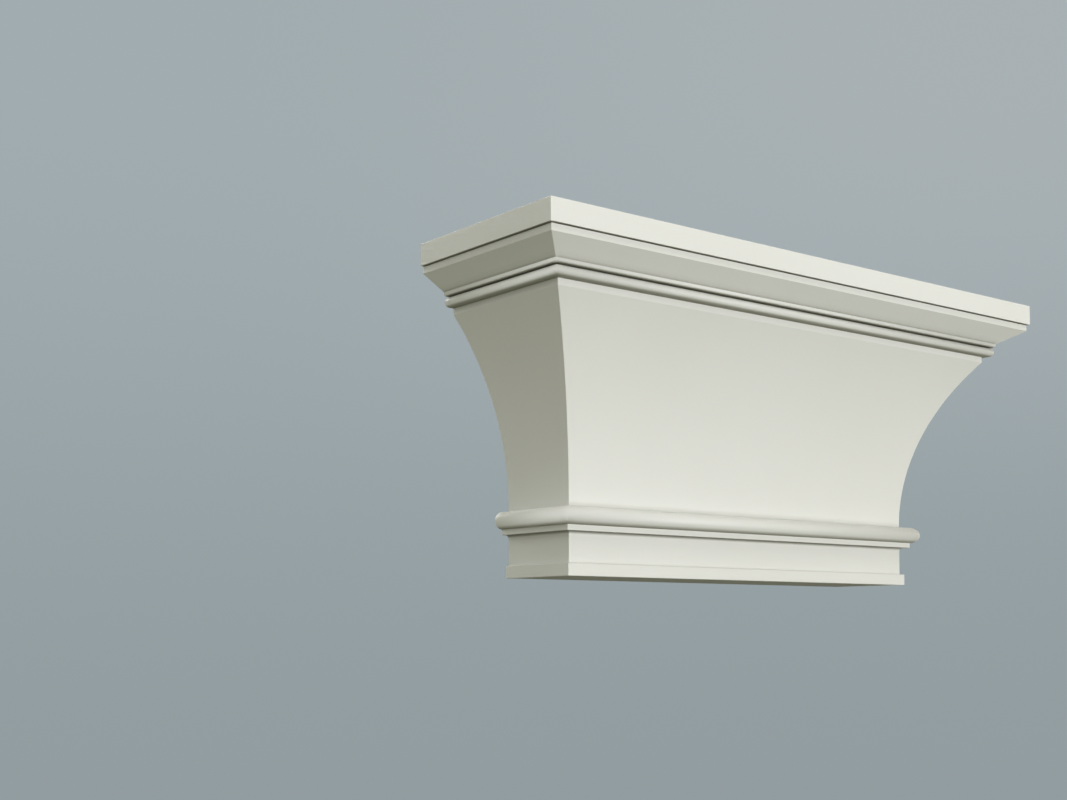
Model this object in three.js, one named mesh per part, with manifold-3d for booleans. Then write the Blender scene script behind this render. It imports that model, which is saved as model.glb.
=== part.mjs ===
// A moulded pilaster capital, cast in one piece: a plain necking with a torus, a bell that
// flares in one deep cavetto, and a crown of bead, chamfer and flat slab.
//
// Millimetres. +X runs along the wall, +Y goes into the wall, +Z is up.
// The origin is the centre of the underside, which sits on the pilaster's shaft.
import * as THREE from "three";
import { mergeVertices } from "three/addons/utils/BufferGeometryUtils.js";
import Module from "manifold-3d";

// The necking, which is as wide as the shaft below it
const neckWidth = 305;
const neckProjection = 59;

// Foot: a plain fillet round the underside
const footHeight = 7.4;
const footStep = 2.3;

// Necking between the foot and the fillet under the torus
const neckingHeight = 19.1;
const neckingCove = 2.6;

// Lower fillet and the torus above it
const lowerFilletHeight = 3.45;
const lowerFilletStep = 5.2;
const torusHeight = 10.8;

// Bell: one hollow arc that starts upright
const bellRadius = 187;
const bellHeight = 118.1;

// Fillet at the head of the bell
const headFilletHeight = 4;

// Bead, with a quirk over it
const beadHeight = 6.1;
const beadStep = 3.35;
const beadQuirkHeight = 0.4;

// Band over the bead, with its lower edge rounded
const bandHeight = 2.5;
const bandStep = 3.8;
const bandRound = 1.4;

// Chamfer, fillet and the slab on top
const chamferHeight = 8.95;
const chamferRun = 15.05;
const upperFilletHeight = 4.1;
const slabQuirkHeight = 0.4;
const slabHeight = 13.4;
const slabStep = 1.8;

// Depth of both quirks
const quirkDepth = 3;

// Facets of the round stretches
const arcStepDegrees = 7.5;
const bellSteps = 40;

const paint = new THREE.MeshStandardMaterial({
  color: new THREE.Color().setRGB(0.9, 0.9, 0.88, THREE.SRGBColorSpace),
  roughness: 0.45,
  metalness: 0,
});

// A pen that walks up the outline in (offset beyond the necking, height above the underside).
function outlinePen() {
  const points = [];
  let offset = 0;
  let height = 0;
  const mark = () => points.push(new THREE.Vector2(offset, height));
  return {
    points,
    out(distance) {
      offset += distance;
      mark();
    },
    up(distance) {
      height += distance;
      mark();
    },
    slope(run, rise) {
      offset += run;
      height += rise;
      mark();
    },
    arc(centreOut, centreUp, radius, fromDegrees, toDegrees, steps) {
      const centre = new THREE.Vector2(offset + centreOut, height + centreUp);
      for (let i = 1; i <= steps; i += 1) {
        const degrees = fromDegrees + ((toDegrees - fromDegrees) * i) / steps;
        const angle = THREE.MathUtils.degToRad(degrees);
        offset = centre.x + radius * Math.cos(angle);
        height = centre.y + radius * Math.sin(angle);
        mark();
      }
    },
  };
}

const roundSteps = (degrees) => Math.round(degrees / arcStepDegrees);

// The moulding's outline, from the underside's edge up to the top's edge.
function mouldingOutline() {
  const pen = outlinePen();
  const torusRadius = torusHeight / 2;
  const beadRadius = beadHeight / 2;

  pen.out(footStep);
  pen.up(footHeight);
  pen.out(-footStep);

  pen.up(neckingHeight - neckingCove);
  pen.arc(neckingCove, 0, neckingCove, 180, 90, roundSteps(90));

  pen.out(lowerFilletStep - neckingCove);
  pen.up(lowerFilletHeight);
  pen.arc(0, torusRadius, torusRadius, -90, 90, roundSteps(180));
  pen.out(-lowerFilletStep);

  const bellSweep = THREE.MathUtils.radToDeg(Math.asin(bellHeight / bellRadius));
  pen.arc(bellRadius, 0, bellRadius, 180, 180 - bellSweep, bellSteps);

  pen.up(headFilletHeight);

  pen.out(beadStep);
  pen.arc(0, beadRadius, beadRadius, -90, 90, roundSteps(180));
  pen.out(-quirkDepth);
  pen.up(beadQuirkHeight);

  pen.out(quirkDepth + bandStep - bandRound);
  pen.arc(0, bandRound, bandRound, -90, 0, roundSteps(90));
  pen.up(bandHeight - bandRound);

  pen.slope(chamferRun, chamferHeight);
  pen.up(upperFilletHeight);
  pen.out(-quirkDepth);
  pen.up(slabQuirkHeight);
  pen.out(quirkDepth + slabStep);
  pen.up(slabHeight);
  return pen.points;
}

const wasm = await Module();
wasm.setup();

function toSolid(geometry) {
  const bare = geometry.clone();
  bare.deleteAttribute("normal");
  bare.deleteAttribute("uv");
  const merged = mergeVertices(bare, 1e-4);
  return new wasm.Manifold(
    new wasm.Mesh({
      numProp: 3,
      vertProperties: Float32Array.from(merged.attributes.position.array),
      triVerts: Uint32Array.from(merged.index.array),
    }),
  );
}

function toGeometry(solid) {
  const mesh = solid.getMesh();
  const geometry = new THREE.BufferGeometry();
  geometry.setAttribute("position", new THREE.BufferAttribute(mesh.vertProperties, 3));
  geometry.setIndex(new THREE.BufferAttribute(mesh.triVerts, 1));
  geometry.computeVertexNormals();
  return geometry;
}

// The front run of the moulding crossed with its two returns, which mitres the corners.
function capitalGeometry() {
  const outline = mouldingOutline();
  const reach = Math.max(...outline.map((point) => point.x));
  const wallY = (neckProjection + footStep) / 2;
  const frontY = wallY - neckProjection;
  const halfNeck = neckWidth / 2;
  const spare = 10;

  // Front run: the section across the wall, drawn in (height, depth) and run along +X
  const frontLine = outline.map((point) => new THREE.Vector2(frontY - point.x, point.y));
  const top = outline.at(-1).y;
  const frontShape = new THREE.Shape([
    new THREE.Vector2(wallY, 0),
    ...frontLine,
    new THREE.Vector2(wallY, top),
  ]);
  const frontLength = neckWidth + 2 * (reach + spare);
  const frontRun = new THREE.ExtrudeGeometry(frontShape, { depth: frontLength, bevelEnabled: false });
  frontRun.applyMatrix4(
    new THREE.Matrix4().makeBasis(
      new THREE.Vector3(0, 1, 0),
      new THREE.Vector3(0, 0, 1),
      new THREE.Vector3(1, 0, 0),
    ),
  );
  frontRun.translate(-frontLength / 2, 0, 0);

  // Returns: the elevation seen from the front, run from behind the wall plane to the front
  const rightLine = outline.map((point) => new THREE.Vector2(halfNeck + point.x, point.y));
  const leftLine = outline.map((point) => new THREE.Vector2(-halfNeck - point.x, point.y)).reverse();
  const returnShape = new THREE.Shape([...rightLine, ...leftLine]);
  const returnLength = neckProjection + reach + 2 * spare;
  const returns = new THREE.ExtrudeGeometry(returnShape, { depth: returnLength, bevelEnabled: false });
  returns.rotateX(Math.PI / 2);
  returns.translate(0, wallY + spare, 0);

  return toGeometry(toSolid(frontRun).intersect(toSolid(returns)));
}

const group = new THREE.Group();
const capital = new THREE.Mesh(capitalGeometry(), paint);
capital.name = "capital";
group.add(capital);

export default group;
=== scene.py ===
# %% [markdown]
# # A pilaster capital in satin paint
#
# A pilaster is a shallow flat column, and its capital is the moulded block that ends it at the
# top. This one is plain: a necking with a round torus, a bell that flares in one deep hollow, and
# a crown of bead, chamfer and slab. The real one is cast in one piece, so the lesson builds one
# mesh. It could be carved from a cube with boolean cuts, but a moulding is easier to describe by
# its section. The section is drawn once, carried round the three free sides, and closed at the
# top, the underside and the back.
#
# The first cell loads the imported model, which gives the real size and the place of everything.

# %% Load the frame
import math

import bmesh
import bpy
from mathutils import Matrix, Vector


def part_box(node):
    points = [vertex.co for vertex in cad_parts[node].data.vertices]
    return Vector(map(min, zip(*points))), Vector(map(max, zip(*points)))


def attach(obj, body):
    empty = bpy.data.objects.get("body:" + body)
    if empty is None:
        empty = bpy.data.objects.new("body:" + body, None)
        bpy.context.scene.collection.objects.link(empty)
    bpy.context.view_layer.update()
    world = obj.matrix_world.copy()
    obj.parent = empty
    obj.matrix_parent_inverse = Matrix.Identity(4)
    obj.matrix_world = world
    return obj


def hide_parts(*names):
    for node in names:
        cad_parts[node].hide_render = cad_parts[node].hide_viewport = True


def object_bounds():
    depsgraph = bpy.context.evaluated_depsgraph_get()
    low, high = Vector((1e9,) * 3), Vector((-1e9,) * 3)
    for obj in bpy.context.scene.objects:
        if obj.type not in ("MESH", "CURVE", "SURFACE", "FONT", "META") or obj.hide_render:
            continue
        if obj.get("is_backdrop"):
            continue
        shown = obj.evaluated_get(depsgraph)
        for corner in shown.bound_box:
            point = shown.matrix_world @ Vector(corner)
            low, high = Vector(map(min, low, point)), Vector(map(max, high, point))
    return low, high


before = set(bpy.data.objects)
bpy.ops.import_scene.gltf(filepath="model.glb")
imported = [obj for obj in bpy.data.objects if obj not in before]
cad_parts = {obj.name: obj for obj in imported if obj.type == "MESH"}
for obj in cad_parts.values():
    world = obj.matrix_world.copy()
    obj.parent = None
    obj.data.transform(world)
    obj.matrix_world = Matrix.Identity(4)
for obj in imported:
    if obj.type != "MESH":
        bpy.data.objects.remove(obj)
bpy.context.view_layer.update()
low, high = (Vector(corner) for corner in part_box("capital"))
print("capital, metres:", tuple(round(side, 4) for side in high - low))

# %% [markdown]
# The camera comes before the mesh, because every later choice is judged through it. It stands
# left of the capital and a little below its underside, and it looks up only slightly, so the
# upright edges stay nearly upright in the picture. The capital would then sit too high in the
# frame. Blender's `shift_y` acts as a shift lens: it slides the frame up over the view without
# turning the camera.

# %% Stand the camera at the photograph's place
MM = 0.001
SENSOR_WIDTH = 36.0
LENS = 49.35
FRAME_SHIFT = 0.137
CAMERA_PLACE = (-695.2 * MM, -692.3 * MM, -30.6 * MM)
LOOKS_UP_DEGREES = 3.2
LOOKS_RIGHT_DEGREES = 37.868

camera_data = bpy.data.cameras.new("camera")
camera_data.sensor_width = SENSOR_WIDTH
camera_data.lens = LENS
camera_data.shift_y = FRAME_SHIFT
camera = bpy.data.objects.new("camera", camera_data)
camera.location = CAMERA_PLACE
pitch = math.radians(90 + LOOKS_UP_DEGREES)
camera.rotation_euler = (pitch, 0.0, math.radians(-LOOKS_RIGHT_DEGREES))
bpy.context.collection.objects.link(camera)
bpy.context.scene.camera = camera
back_y = high.y
print("from the camera to the plane of the back, metres:", round(back_y - camera.location.y, 3))

# %% [markdown]
# A section is easiest to draw as a joiner would describe it: so far out, so far up, then a round.
# The pen below keeps five numbers for each corner. Two say where it is, `out` from the face of
# the necking and `up` from the underside. `arris` is the small radius that casting and paint leave
# on an edge. `turn` says how far the mitre is rounded where the moulding goes round the corner of
# the capital. `softness` says how far the light runs round that corner on a round member: 0 keeps
# the mitre crisp, 1 makes it as soft as it can be.

# %% A pen that walks up the section
SHARP_TURN = 0.3 * MM


class Pen:
    """Collects the section's corners as (out, up, arris, turn, softness)."""

    def __init__(self):
        self.place = Vector((0.0, 0.0))
        self.corners = []

    def mark(self, arris=0.0, turn=SHARP_TURN, softness=0.0):
        self.corners.append((self.place.x, self.place.y, arris, turn, softness))

    def step(self, out=0.0, up=0.0, **edge):
        self.place += Vector((out, up))
        self.mark(**edge)

    def hollow(self, radius, rise, steps, arris):
        """A long hollow that starts upright and leans outwards. Its last corner has the arris."""
        centre = self.place + Vector((radius, 0.0))
        sweep = math.asin(rise / radius)
        for i in range(1, steps + 1):
            angle = math.pi - sweep * i / steps
            self.place = centre + radius * Vector((math.cos(angle), math.sin(angle)))
            self.mark(arris=arris if i == steps else 0.0)

    def bulge(self, radius, start, end, steps, turn=SHARP_TURN, softness=0.0):
        """A round that stands out, with its mitre softest where it stands out most.

        A negative radius makes a cove.
        """
        first = radius * Vector((math.cos(start), math.sin(start)))
        centre = self.place - first
        for i in range(1, steps + 1):
            angle = start + (end - start) * i / steps
            self.place = centre + radius * Vector((math.cos(angle), math.sin(angle)))
            softened = SHARP_TURN + (turn - SHARP_TURN) * max(0.0, math.cos(angle))
            self.mark(turn=softened, softness=softness)


print("pen ready, sharpest mitre", SHARP_TURN / MM, "mm")

# %% [markdown]
# These are the members from the bottom up, with a trade name for each. The steps say how far a
# member stands out beyond the one below it. The turns are the rounded mitres of the three round
# members.

# %% Give the sizes of the members
FOOT_HEIGHT = 7.4 * MM
FOOT_STEP = 2.3 * MM
NECKING_HEIGHT = 19.1 * MM
NECKING_COVE = 2.6 * MM
LOWER_FILLET_HEIGHT = 3.45 * MM
LOWER_FILLET_STEP = 5.2 * MM
TORUS_RADIUS = 5.4 * MM
TORUS_TURN = 1.5 * MM
BELL_RADIUS = 187.0 * MM
BELL_HEIGHT = 118.1 * MM
HEAD_FILLET_HEIGHT = 4.0 * MM
QUIRK_HEIGHT = 0.4 * MM
QUIRK_DEPTH = 3.0 * MM
BEAD_RADIUS = 3.05 * MM
BEAD_STEP = 3.35 * MM
BEAD_TURN = 0.8 * MM
BAND_HEIGHT = 2.5 * MM
BAND_STEP = 3.8 * MM
BAND_ROUND = 1.4 * MM
BAND_TURN = 0.6 * MM
CHAMFER_HEIGHT = 8.95 * MM
CHAMFER_RUN = 15.05 * MM
UPPER_FILLET_HEIGHT = 4.1 * MM
SLAB_HEIGHT = 13.4 * MM
SLAB_STEP = 1.8 * MM
print("torus and bell, mm high:", round(2 * TORUS_RADIUS / MM, 1), round(BELL_HEIGHT / MM, 1))

# %% [markdown]
# Now the pen walks up the members. Edges that a hand would meet get an arris of about a third of a
# millimetre. The lips of the two quirks and the upper edge of the foot get a finer one, and the
# edge at the head of the bell a broad soft one. A quirk is the narrow slot that parts one member
# from the next. It is cut deep, because only a deep slot stays dark enough to read as a crisp line
# from across a room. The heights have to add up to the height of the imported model, and the cell
# prints both so that a slip shows at once.

# %% Draw the section of the capital
ARRIS = 0.3 * MM
FINE_ARRIS = 0.15 * MM
SOFT_ARRIS = 1.2 * MM
INNER = 0.1 * MM
QUARTER = math.pi / 2
COVE_STEPS = 8
TORUS_STEPS = 28
BELL_STEPS = 72
BEAD_STEPS = 20
BAND_STEPS = 8
SOFT = 1.0
TOP_MARGIN = 2 * ARRIS


def draw_foot_and_necking(pen):
    pen.step()
    pen.step(out=FOOT_STEP, arris=ARRIS)
    pen.step(up=FOOT_HEIGHT, arris=FINE_ARRIS)
    pen.step(out=-FOOT_STEP, arris=INNER)
    pen.step(up=NECKING_HEIGHT - NECKING_COVE)
    pen.bulge(-NECKING_COVE, 0.0, -QUARTER, COVE_STEPS)


def draw_torus_and_bell(pen):
    pen.step(out=LOWER_FILLET_STEP - NECKING_COVE, arris=ARRIS)
    pen.step(up=LOWER_FILLET_HEIGHT, arris=INNER)
    pen.bulge(TORUS_RADIUS, -QUARTER, QUARTER, TORUS_STEPS, TORUS_TURN, SOFT)
    pen.step(out=-LOWER_FILLET_STEP, arris=FINE_ARRIS)
    pen.hollow(BELL_RADIUS, BELL_HEIGHT, BELL_STEPS, SOFT_ARRIS)
    pen.step(up=HEAD_FILLET_HEIGHT, arris=INNER)


def draw_crown(pen):
    pen.step(out=BEAD_STEP)
    pen.bulge(BEAD_RADIUS, -QUARTER, QUARTER, BEAD_STEPS, BEAD_TURN, SOFT)
    pen.step(out=-QUIRK_DEPTH, arris=INNER)
    pen.step(up=QUIRK_HEIGHT, arris=INNER)
    pen.step(out=QUIRK_DEPTH + BAND_STEP - BAND_ROUND)
    pen.bulge(BAND_ROUND, -QUARTER, 0.0, BAND_STEPS, BAND_TURN, SOFT)
    pen.step(up=BAND_HEIGHT - BAND_ROUND, arris=FINE_ARRIS, turn=BAND_TURN, softness=SOFT)
    pen.step(out=CHAMFER_RUN, up=CHAMFER_HEIGHT, arris=ARRIS)
    pen.step(up=UPPER_FILLET_HEIGHT, arris=FINE_ARRIS)
    pen.step(out=-QUIRK_DEPTH, arris=INNER)
    pen.step(up=QUIRK_HEIGHT, arris=INNER)
    pen.step(out=QUIRK_DEPTH + SLAB_STEP, arris=ARRIS)
    pen.step(up=SLAB_HEIGHT, arris=ARRIS)
    pen.step(out=-TOP_MARGIN)


pen = Pen()
draw_foot_and_necking(pen)
draw_torus_and_bell(pen)
draw_crown(pen)
corners = pen.corners
reach = max(corner[0] for corner in corners)
half_neck = high.x - reach
front_y = low.y + reach
print("height of the section, mm:", round(corners[-1][1] / MM, 2))
print("height of the model, mm:", round((high.z - low.z) / MM, 2))
print("width of the necking, mm:", round(2 * half_neck / MM, 2))

# %% [markdown]
# A corner with an arris becomes a short arc that touches both edges. The arc's two ends lie the
# same distance from the corner, `radius * tan(half of the bend)`, and its points are found by
# turning its first radius about the circle's centre, a little at a time.

# %% Round the section's small edges
ARRIS_STEPS = 4
STRAIGHT_BELOW = 0.05


def eased(before, corner, after):
    """The points that replace one corner: itself, or an arc when it has an arris."""
    out, up, arris, turn, softness = corner
    place = Vector((out, up))
    incoming = (place - Vector(before[:2])).normalized()
    outgoing = (Vector(after[:2]) - place).normalized()
    bend = incoming.angle_signed(outgoing)
    if arris == 0.0 or abs(bend) < STRAIGHT_BELOW:
        return [(out, up, turn, softness)]
    cut = arris * math.tan(abs(bend) / 2)
    start = place - incoming * cut
    sideways = Vector((incoming.y, -incoming.x)) if bend > 0 else Vector((-incoming.y, incoming.x))
    centre = start + sideways * arris
    points = []
    for i in range(ARRIS_STEPS + 1):
        angle = -bend * i / ARRIS_STEPS
        spoke = start - centre
        turned = Vector((spoke.x * math.cos(angle) - spoke.y * math.sin(angle),
                         spoke.x * math.sin(angle) + spoke.y * math.cos(angle)))
        place = centre + turned
        points.append((place.x, place.y, turn, softness))
    return points


section = [(corners[0][0], corners[0][1], corners[0][3], 0.0)]
for before, corner, after in zip(corners, corners[1:], corners[2:]):
    section += eased(before, corner, after)
section.append((corners[-1][0], corners[-1][1], corners[-1][3], 0.0))
print("section points:", len(section))

# %% [markdown]
# Now the section goes round the capital. At every height the plan is the same shape, a rectangle
# open at the back, only larger or smaller, so each section point becomes one ring of vertices and
# neighbouring rings are joined by quads. The mitres come by themselves, because a ring grows
# sideways and forwards by the same amount.

# %% Carry the section round three sides
TURN_STEPS = 8
BACK_ARRIS = 0.12 * MM


def ring(out, turn):
    """The plan at one height, from the left end of the back, round the front, to the right end."""
    half = half_neck + out
    front = front_y - out
    plan = []
    for i in range(TURN_STEPS + 1):
        angle = QUARTER * i / TURN_STEPS
        x = half - turn + turn * math.cos(angle)
        y = front + turn - turn * math.sin(angle)
        plan.append((x, y))
    left = [(-x, y) for x, y in plan]
    right = list(reversed(plan))
    back = back_y - BACK_ARRIS
    return [(-half, back)] + left + right + [(half, back)]


mesh = bmesh.new()
rings = []
for out, up, turn, softness in section:
    rings.append([mesh.verts.new((x, y, low.z + up)) for x, y in ring(out, turn)])
for lower, upper in zip(rings, rings[1:]):
    for i in range(len(lower) - 1):
        mesh.faces.new((lower[i], lower[i + 1], upper[i + 1], upper[i]))
print("faces round the sides:", len(mesh.faces))

# %% [markdown]
# Three flat faces close the mesh: the top, the underside and the back. The back is the side that
# the capital is fixed by, and on the real one it is simply sawn and sanded flat, so its edge is
# broken by a narrow bevel. The bevel's inner line is the section again, drawn in by its own normal.
# It has to be narrower than the finest arris, or the drawn-in line would cross itself there.

# %% Close the top, the underside and the back
def inward(index):
    """The direction from the section's outline into the solid, at one of its points."""
    before = Vector(section[max(index - 1, 0)][:2])
    after = Vector(section[min(index + 1, len(section) - 1)][:2])
    along = (after - before).normalized()
    return Vector((-along.y, along.x))


left_edge = []
right_edge = []
for index, (out, up, turn, softness) in enumerate(section):
    inner = Vector((out, up)) + inward(index) * BACK_ARRIS
    half = half_neck + inner.x
    left_edge.append(mesh.verts.new((-half, back_y, low.z + inner.y)))
    right_edge.append(mesh.verts.new((half, back_y, low.z + inner.y)))
outer_loop = [circle[0] for circle in rings] + [circle[-1] for circle in reversed(rings)]
inner_loop = left_edge + right_edge[::-1]
for i in range(len(outer_loop)):
    j = (i + 1) % len(outer_loop)
    mesh.faces.new((outer_loop[i], outer_loop[j], inner_loop[j], inner_loop[i]))
mesh.faces.new(inner_loop)
mesh.faces.new(rings[0])
mesh.faces.new(rings[-1])
bmesh.ops.recalc_face_normals(mesh, faces=mesh.faces)
open_edges = [edge for edge in mesh.edges if not edge.is_manifold]
print("open edges:", len(open_edges), "volume, litres:", round(mesh.calc_volume() * 1000, 3))

# %% [markdown]
# Smooth shading alone would drag the shade of a narrow arris across the wide face beside it, so
# the shading normals are worked out here. Along the section, the longer of two neighbouring
# stretches wins, which keeps flats flat and rounds round. Round the corner, a sharp member turns
# at its mitre. The three rounds are different: on them the light runs softly round the corner, so
# their normals at the mitre all point out along it, and fade towards the next corner or the back.

# %% Make the object and work out its shading normals
SMOOTH_BELOW = math.radians(30)


def section_normal(point, stretch):
    """The outward normal at one point of the section, seen from the stretch above or below it."""
    def outward(index):
        along = Vector(section[index + 1][:2]) - Vector(section[index][:2])
        return Vector((along.y, -along.x))

    own = outward(stretch)
    other_stretch = point - 1 if stretch == point else point
    if not 0 <= other_stretch < len(section) - 1:
        return own.normalized()
    other = outward(other_stretch)
    if own.angle(other) > SMOOTH_BELOW:
        return own.normalized()
    return (own + other).normalized()


def plan_normal(place, softness):
    """The outward normal of a ring at one of its places, as x and y."""
    last = len(ring(0.0, SHARP_TURN)) - 1
    if place in (0, last):
        return Vector((-1.0 if place == 0 else 1.0, 0.0))
    mirrored = place if place <= TURN_STEPS + 1 else last - place
    angle = QUARTER * (mirrored - 1) / TURN_STEPS
    angle += softness * (QUARTER / 2 - angle)
    side = -1.0 if place <= TURN_STEPS + 1 else 1.0
    return Vector((side * math.cos(angle), -math.sin(angle)))


capital_data = bpy.data.meshes.new("moulded_capital")
for face in mesh.faces:
    face.smooth = True
mesh.to_mesh(capital_data)
mesh.free()
ring_size = len(rings[0])
ring_vertices = ring_size * len(section)
normals = []
for polygon in capital_data.polygons:
    on_rings = all(v < ring_vertices for v in polygon.vertices) and len(polygon.vertices) == 4
    points = {v // ring_size for v in polygon.vertices}
    if not on_rings or max(points) - min(points) != 1:
        normals += [tuple(polygon.normal)] * len(polygon.vertices)
        continue
    stretch = min(points)
    softness = min(section[stretch][3], section[stretch + 1][3])
    for v in polygon.vertices:
        across = section_normal(v // ring_size, stretch)
        around = plan_normal(v % ring_size, softness)
        normal = Vector((around.x * across.x, around.y * across.x, across.y))
        normals.append(tuple(normal.normalized()))
capital_data.normals_split_custom_set(normals)
capital = bpy.data.objects.new("moulded_capital", capital_data)
bpy.context.collection.objects.link(capital)
print("vertices:", len(capital_data.vertices), "faces:", len(capital_data.polygons))

# %% [markdown]
# The finish is a sprayed satin enamel in warm off-white. Up close, spray paint isn't one flat
# colour: it has a fine orange peel, and its gloss changes a little from place to place. The small
# class below wraps a node's output so that ordinary sums in Python become Math nodes, and its
# `node` method adds any other kind of node.

# %% A wire that does sums
class Wire:
    """One output of a node. Operators on it add Math nodes."""

    def __init__(self, tree, socket=None):
        self.tree = tree
        self.socket = socket

    def node(self, kind, settings=None, inputs=None, output=0):
        """Adds any node: its settings first, then the values or links of its sockets."""
        added = self.tree.nodes.new(kind)
        for name, value in (settings or {}).items():
            setattr(added, name, value)
        for name, value in (inputs or {}).items():
            self.feed(added.inputs[name], value)
        return Wire(self.tree, added.outputs[output])

    def feed(self, socket, value):
        if isinstance(value, Wire):
            self.tree.links.new(value.socket, socket)
        else:
            socket.default_value = value

    def calculate(self, operation, first, second=0.0):
        return self.node("ShaderNodeMath", {"operation": operation}, {0: first, 1: second})

    def larger(self, other):
        return self.calculate("MAXIMUM", self, other)

    def smaller(self, other):
        return self.calculate("MINIMUM", self, other)

    def size(self):
        return self.calculate("ABSOLUTE", self)

    def parts(self):
        """The three numbers of a vector."""
        separate = self.node("ShaderNodeSeparateXYZ", inputs={0: self}).socket.node
        return [Wire(self.tree, output) for output in separate.outputs]

    def __add__(self, other):
        return self.calculate("ADD", self, other)

    __radd__ = __add__

    def __sub__(self, other):
        return self.calculate("SUBTRACT", self, other)

    def __rsub__(self, other):
        return self.calculate("SUBTRACT", other, self)

    def __mul__(self, other):
        return self.calculate("MULTIPLY", self, other)

    __rmul__ = __mul__

    def band(self, start, end):
        """0 below start, 1 above end, and a smooth step between."""
        settings = {"interpolation_type": "SMOOTHSTEP"}
        inputs = {"Value": self, "From Min": start, "From Max": end}
        return self.node("ShaderNodeMapRange", settings, inputs)

    def blend(self, first, second):
        """Mixes two colours. This wire is the share of the second.

        The Mix node's sockets share their names, so its colour sockets are picked by number.
        """
        inputs = {0: self, 6: first, 7: second}
        return self.node("ShaderNodeMix", {"data_type": "RGBA"}, inputs, output=2)


def new_material(name):
    """A material with its Principled shader, and a wire to start its sums from."""
    material = bpy.data.materials.new(name)
    material.use_nodes = True
    shader = material.node_tree.nodes["Principled BSDF"]
    return material, shader, Wire(material.node_tree)


material, shader, start = new_material("satin_paint")
print("shader sockets:", len(shader.inputs))

# %% [markdown]
# Masks say where the spray gun reached, and on the underside where shade is painted. A mask is a
# grey value from 0 to 1 that is worked out at each point of the surface. The back got no paint. The
# top and the underside got overspray that fades away from the free edges: a wide fade on the top, a
# narrow one on the underside. Beyond that narrow fade the underside keeps the dark bare casting,
# which is painted shade under the capital. The fade follows the distance from the nearest free
# edge, so it needs no painting by hand and stays right if the sizes change. All of this needs the
# place of a point, the way it faces, and a noise to break up what would look too even.

# %% Find where a point of the surface is
NOISE_MEAN = 0.5

place = start.node("ShaderNodeNewGeometry")
facing = start.node("ShaderNodeNewGeometry", output="True Normal")
texture = start.node("ShaderNodeTexCoord", output="Object")
x, y, z = place.parts()
facing_y, facing_z = facing.parts()[1:]
facing_down = 0.0 - facing_z


def from_free_edge(out):
    """Distance inwards from the three free edges of a level that stands out by this much."""
    from_side = (half_neck + out) - x.size()
    from_front = y - (front_y - out)
    return from_side.smaller(from_front)


def noise(scale, detail):
    """A soft noise from 0 to 1. The scale counts its features in a metre."""
    inputs = {"Vector": texture, "Scale": scale, "Detail": detail}
    return start.node("ShaderNodeTexNoise", inputs=inputs)


print("the slab stands out beyond the necking, mm:", round(reach / MM, 2))

# %% [markdown]
# The mask of the bare casting adds up three places: the back, the middle of the top and the middle
# of the underside. On the underside it also carries painted shade, since the dark casting there
# stands for the shade under the capital. A noise makes the edge of the overspray on the top ragged,
# as a real one is. The top and the underside are told from other level faces, such as the soffit of
# the slab, by height.
# A pair of numbers here and below is the start and the end of a smooth step from 0 to 1.

# %% Mask where the casting is bare, and the painted shade of the underside
TOP_OVERSPRAY = 45 * MM
UNDER_OVERSPRAY = 3 * MM
RAGGED_SCALE = 60.0
RAGGED_DETAIL = 4.0
RAGGED_REACH = 14 * MM
LEVEL = (0.9, 0.99)
TO_THE_BACK = (0.5, 0.9)
NEAR_LEVEL = 0.1 * MM
OFF_LEVEL = 0.2 * MM

ragged = (noise(RAGGED_SCALE, RAGGED_DETAIL) - NOISE_MEAN) * RAGGED_REACH
on_top = facing_z.band(*LEVEL) * z.band(high.z - OFF_LEVEL, high.z - NEAR_LEVEL)
on_underside = facing_down.band(*LEVEL) * (1.0 - z.band(low.z + NEAR_LEVEL, low.z + OFF_LEVEL))
on_back = facing_y.band(*TO_THE_BACK)
bare_and_underside_shade = on_back + on_top * (from_free_edge(section[-1][0]) + ragged).band(0.0, TOP_OVERSPRAY)
# On the underside, the dark bare casting beyond the narrow fade is painted shade.
bare_and_underside_shade = bare_and_underside_shade + on_underside * from_free_edge(section[0][0]).band(0.0, UNDER_OVERSPRAY)
bare_and_underside_shade = bare_and_underside_shade.smaller(1.0)
print("overspray on the top and the underside, mm:", TOP_OVERSPRAY / MM, UNDER_OVERSPRAY / MM)

# %% [markdown]
# Creases are the other places that look different: shade is painted into them. Creases that face
# down and the deep quirks get painted shade. Ambient occlusion measures how closed-in a point is,
# within a few millimetres here, and makes the mask for it. A right-angled crease scores about a
# half, the inside of a quirk nearly one. Painted shade also goes under the torus and the bead, and
# in the cove at the head of the necking. Those three are open enough to escape that measure, so
# they are marked by their heights.

# %% Mask the painted shade in the creases and quirks
CREASE_REACH = 6.0 * MM
CREASE_SAMPLES = 6
CREASE = (0.03, 0.3)
QUIRK = (0.7, 0.95)
DOWNWARDS = (0.2, 0.9)
UPWARDS = (0.1, 0.6)
SHARP_FADE = 0.1 * MM
ROUND_SHADE = 0.85
COVE_SHADE = 0.7

nearby = {"Distance": CREASE_REACH}
openness = start.node("ShaderNodeAmbientOcclusion", {"samples": CREASE_SAMPLES}, nearby, output="AO")
closed_in = 1.0 - openness
faces_down = facing_down.band(*DOWNWARDS)
# Painted shade: creases that face down are darkened, and the deep quirks more.
crease_shade = closed_in.band(*CREASE) * faces_down
deep_shade = closed_in.band(*QUIRK) * (1.0 - facing_z.band(*UPWARDS))


def under_round(foot, fade):
    """The underside of a round member that starts at this height, fading upwards."""
    level = z - (low.z + foot)
    return level.band(-SHARP_FADE, 0.0) * (1.0 - level.band(0.0, fade))


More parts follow.
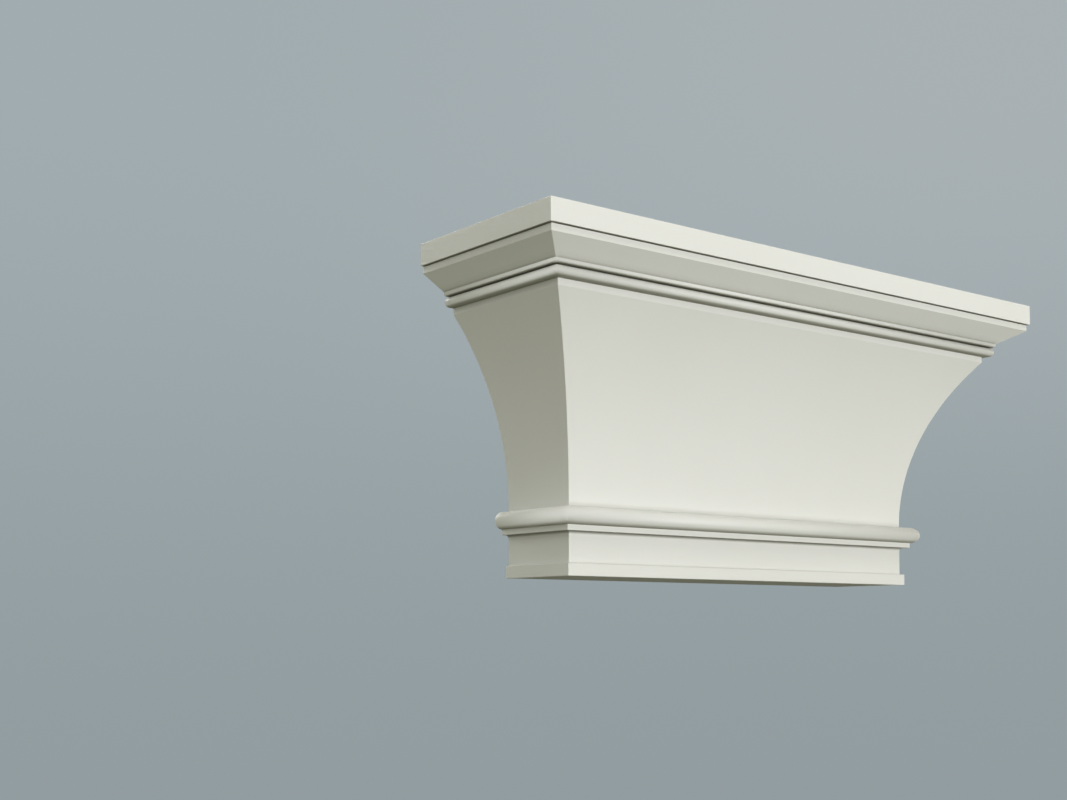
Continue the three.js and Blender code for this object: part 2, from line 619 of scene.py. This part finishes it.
torus_foot = FOOT_HEIGHT + NECKING_HEIGHT + LOWER_FILLET_HEIGHT
bead_foot = torus_foot + 2 * TORUS_RADIUS + BELL_HEIGHT + HEAD_FILLET_HEIGHT
under_rounds = under_round(torus_foot, TORUS_RADIUS / 2) + under_round(bead_foot, BEAD_RADIUS / 2)
# Painted shade under the torus and the bead.
crease_shade = crease_shade.larger(under_rounds * faces_down * ROUND_SHADE)

cove_head = low.z + FOOT_HEIGHT + NECKING_HEIGHT
below_head = 1.0 - z.band(cove_head, cove_head + SHARP_FADE)
in_cove = z.band(cove_head - NECKING_COVE, cove_head) * below_head
# Painted shade in the cove at the head of the necking.
deep_shade = deep_shade.larger(in_cove * faces_down * COVE_SHADE)
print("the torus and the bead start at, mm:", round(torus_foot / MM, 2), round(bead_foot / MM, 2))

# %% [markdown]
# A few colours are enough: the paint, the bare casting, and painted shade over either. The paint
# varies by about a hundredth, which the eye takes for a real coat rather than for spots. The bare
# casting is rigid foam, which looks like fine-grained pale wood, with pinholes where bubbles broke
# the surface. Its dark tone also serves as the painted shade of the underside. Each mask blends one
# colour over the last, from the paint up to the painted shade in the quirks.

# %% Colour the paint, the casting and the painted shade
PAINT = (0.80, 0.80, 0.785, 1.0)
PAINT_SHADE = (0.788, 0.787, 0.77, 1.0)
# The bare casting's dark tone also serves as painted shade on the underside.
CASTING_AND_UNDERSIDE_SHADE = (0.355, 0.36, 0.325, 1.0)
CASTING_SPOTS_AND_UNDERSIDE_SHADE = (0.315, 0.315, 0.28, 1.0)
# Painted shade: the colours for the creases and for the quirks.
CREASE_SHADE_TONE = (0.24, 0.235, 0.185, 1.0)
QUIRK_SHADE_TONE = (0.12, 0.115, 0.09, 1.0)
COAT_SCALE = 9.0
COAT_DETAIL = 3.0
COAT_SPREAD = (0.3, 0.7)
GRAIN_SCALE = 130.0
GRAIN_DETAIL = 5.0
GRAIN_SPREAD = (0.35, 0.65)
PINHOLE_SCALE = 420.0
PINHOLE_RIM = (0.1, 0.3)
GRAIN_SHARE = 0.7
PINHOLE_SHARE = 0.3

coat = noise(COAT_SCALE, COAT_DETAIL).band(*COAT_SPREAD).blend(PAINT, PAINT_SHADE)
cells = start.node("ShaderNodeTexVoronoi", inputs={"Vector": texture, "Scale": PINHOLE_SCALE})
pinhole = 1.0 - cells.band(*PINHOLE_RIM)
grain = noise(GRAIN_SCALE, GRAIN_DETAIL)
spots = grain.band(*GRAIN_SPREAD) * GRAIN_SHARE + pinhole * PINHOLE_SHARE
foam_and_underside_shade = spots.blend(CASTING_AND_UNDERSIDE_SHADE, CASTING_SPOTS_AND_UNDERSIDE_SHADE)
# Painted shade darkens the creases, and more darkly the quirks and the cove.
crease_shaded = crease_shade.blend(bare_and_underside_shade.blend(coat, foam_and_underside_shade), CREASE_SHADE_TONE)
start.feed(shader.inputs["Base Color"], deep_shade.blend(crease_shaded, QUIRK_SHADE_TONE))
print("colours from the paint to the quirks:", PAINT[0], CASTING_AND_UNDERSIDE_SHADE[0], CREASE_SHADE_TONE[0], QUIRK_SHADE_TONE[0])

# %% [markdown]
# The gloss of satin enamel is neither sharp nor flat, and it drifts a little every few centimetres.
# Foam and the creases painted with shade are matt. What is too fine to model is left to a bump:
# orange peel on the paint, grain and pinholes on the foam. Its heights are in metres, like
# everything else here, so the bump's own strength and distance both stay at 1.

# %% Give the gloss and the fine relief, and dress the capital
PAINT_ROUGHNESS = 0.43
GLOSS_DRIFT = 0.08
GLOSS_SCALE = 22.0
GLOSS_DETAIL = 3.0
MATT_ROUGHNESS = 0.4
PEEL_SCALE = 850.0
PEEL_DETAIL = 1.0
PEEL_HEIGHT = 0.008 * MM
GRAIN_HEIGHT = 0.15 * MM
PINHOLE_DEPTH = 0.25 * MM

gloss = (noise(GLOSS_SCALE, GLOSS_DETAIL) - NOISE_MEAN) * GLOSS_DRIFT + PAINT_ROUGHNESS
matt = bare_and_underside_shade.larger(crease_shade.larger(deep_shade))
start.feed(shader.inputs["Roughness"], gloss + matt * MATT_ROUGHNESS)

peel = noise(PEEL_SCALE, PEEL_DETAIL) * (1.0 - bare_and_underside_shade)
relief = peel * PEEL_HEIGHT + (grain * GRAIN_HEIGHT - pinhole * PINHOLE_DEPTH) * bare_and_underside_shade
bump = start.node("ShaderNodeBump", inputs={"Strength": 1.0, "Distance": 1.0, "Height": relief})
start.feed(shader.inputs["Normal"], bump)
capital_data.materials.append(material)
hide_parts("capital")
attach(capital, "root")
print("nodes in the material:", len(material.node_tree.nodes))

# %% [markdown]
# The studio is a bowl: a level floor that bends up into tall sides all round, so no view of the
# capital meets a corner or an edge of the set. Only its own section is needed, and turning that
# about the upright axis gives the mesh. The bowl is marked as stage, because it isn't part of the
# capital, and only the camera sees it, so it neither shades nor tints the piece.

# %% Make the studio bowl
FLOOR_Z = -450 * MM
BOWL_FLAT = 2.4
BOWL_CURVE = 1.4
BOWL_TOP = 4.0
BOWL_STEPS = 96
BEND_STEPS = 16

outline = [(BOWL_FLAT, FLOOR_Z)]
for i in range(1, BEND_STEPS + 1):
    angle = QUARTER * i / BEND_STEPS
    rise = BOWL_CURVE * (1 - math.cos(angle))
    outline.append((BOWL_FLAT + BOWL_CURVE * math.sin(angle), FLOOR_Z + rise))
outline.append((BOWL_FLAT + BOWL_CURVE, BOWL_TOP))

around = [math.tau * i / BOWL_STEPS for i in range(BOWL_STEPS)]
bowl_mesh = bmesh.new()
circles = []
for radius, level in outline:
    circle = [(radius * math.cos(turn), radius * math.sin(turn), level) for turn in around]
    circles.append([bowl_mesh.verts.new(point) for point in circle])
bowl_mesh.faces.new(circles[0])
for lower, upper in zip(circles, circles[1:]):
    for i in range(BOWL_STEPS):
        j = (i + 1) % BOWL_STEPS
        bowl_mesh.faces.new((lower[i], lower[j], upper[j], upper[i]))
for face in bowl_mesh.faces:
    face.normal_flip()
    face.smooth = True
bowl_data = bpy.data.meshes.new("bowl")
bowl_mesh.to_mesh(bowl_data)
bowl_mesh.free()
bowl = bpy.data.objects.new("bowl", bowl_data)
bpy.context.collection.objects.link(bowl)
bowl.visible_shadow = False
bowl.visible_diffuse = False
bowl.visible_glossy = False
bowl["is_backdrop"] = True
print("bowl faces:", len(bowl_data.polygons))

# %% [markdown]
# The paper of the bowl is plain and pale, a little darker and cooler than the paint, which is what
# lets the white edges stand out. Painted light makes it lighter upwards, and a little more so on the
# upper right. It glows by itself with its own colour, so no lamp has to be spent on it, and it looks
# as even from behind as from the front.

# %% Cover the bowl with pale paper
BACKDROP_LOW = (0.287, 0.335, 0.354, 1.0)
BACKDROP_PAINTED_LIGHT_HIGH = (0.356, 0.413, 0.434, 1.0)
BACKDROP_PAINTED_LIGHT_RIGHT = (0.395, 0.437, 0.455, 1.0)
PAINTED_LIGHT_UPWARDS = (-0.6, 1.7)
RIGHT_SIDE = (1.2, 3.4)
RIGHT_UPPER = (0.2, 1.8)
BLACK = (0.0, 0.0, 0.0, 1.0)

paper_material, paper_shader, paper_start = new_material("backdrop")
paper_place = paper_start.node("ShaderNodeNewGeometry").parts()
rightwards, upwards = paper_place[0], paper_place[2]
# Painted light: the paper is made lighter upwards and on the upper right.
paper = upwards.band(*PAINTED_LIGHT_UPWARDS).blend(BACKDROP_LOW, BACKDROP_PAINTED_LIGHT_HIGH)
painted_light_upper_right = rightwards.band(*RIGHT_SIDE) * upwards.band(*RIGHT_UPPER)
paper = painted_light_upper_right.blend(paper, BACKDROP_PAINTED_LIGHT_RIGHT)
paper_start.feed(paper_shader.inputs["Emission Color"], paper)
paper_shader.inputs["Emission Strength"].default_value = 1.0
paper_shader.inputs["Base Color"].default_value = BLACK
paper_shader.inputs["Roughness"].default_value = 1.0
paper_shader.inputs["Specular IOR Level"].default_value = 0.0
bowl_data.materials.append(paper_material)
print("nodes in the paper:", len(paper_material.node_tree.nodes))

# %% [markdown]
# The light is soft and nearly even, as from large diffusers. A sun lamp with a wide angle does
# that: it has a direction and a softness but no distance, so both ends of the capital get the same.
# Most of it comes from straight in front and a little below, which is why the chamfer under the
# slab stays bright. The overhead one only grazes the slab and the torus. The one behind is for the
# views of the back. Each lamp is given by its azimuth, elevation and width in degrees, then its
# strength and colour. The world adds a faint warm fill from all round.

# %% Light it softly
WHITE = (1.0, 1.0, 1.0)
WARM = (1.02, 1.0, 0.955)
WARM_FILL = (0.96, 1.0, 0.61, 1.0)
FILL_STRENGTH = 0.165
LAMP_DISTANCE = 2.0
LIGHTS = {
    "front": (0, -8, 50, 1.84, WHITE),
    "front_left": (-45, -5, 50, 0.385, WHITE),
    "front_high": (-10, 58, 25, 0.456, WARM),
    "right": (100, 0, 60, 0.843, WARM),
    "left_high": (-85, 40, 50, 0.58, WHITE),
    "overhead": (-10, 80, 20, 1.54, WHITE),
    "back": (180, 20, 16, 2.0, WHITE),
}


def soft_sun(name, azimuth, elevation, width, strength, colour):
    """A broad, distant light. Azimuth 0 is straight in front, positive to the right."""
    data = bpy.data.lights.new(name, "SUN")
    data.angle = math.radians(width)
    data.energy = strength
    data.color = colour
    light = bpy.data.objects.new(name, data)
    a = math.radians(azimuth)
    e = math.radians(elevation)
    towards = Vector((math.sin(a) * math.cos(e), -math.cos(a) * math.cos(e), math.sin(e)))
    light.rotation_euler = towards.to_track_quat("Z", "Y").to_euler()
    light.location = towards * LAMP_DISTANCE
    bpy.context.collection.objects.link(light)


for name, settings in LIGHTS.items():
    soft_sun(name, *settings)

world = bpy.data.worlds.new("world")
world.use_nodes = True
sky = world.node_tree.nodes["Background"]
sky.inputs["Color"].default_value = WARM_FILL
sky.inputs["Strength"].default_value = FILL_STRENGTH
bpy.context.scene.world = world
bpy.context.scene.view_settings.view_transform = "Standard"
print("lights:", ", ".join(LIGHTS))

# %% [markdown]
# Last, the corners of the dressed piece's box are printed. They have to agree with the plain
# solid's size, since the dressed piece must fit wherever the plain solid did.

# %% Write the sizes and finish
dressed_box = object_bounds()
for corner in dressed_box:
    print("dressed box corner, metres:", tuple(round(v, 4) for v in corner))
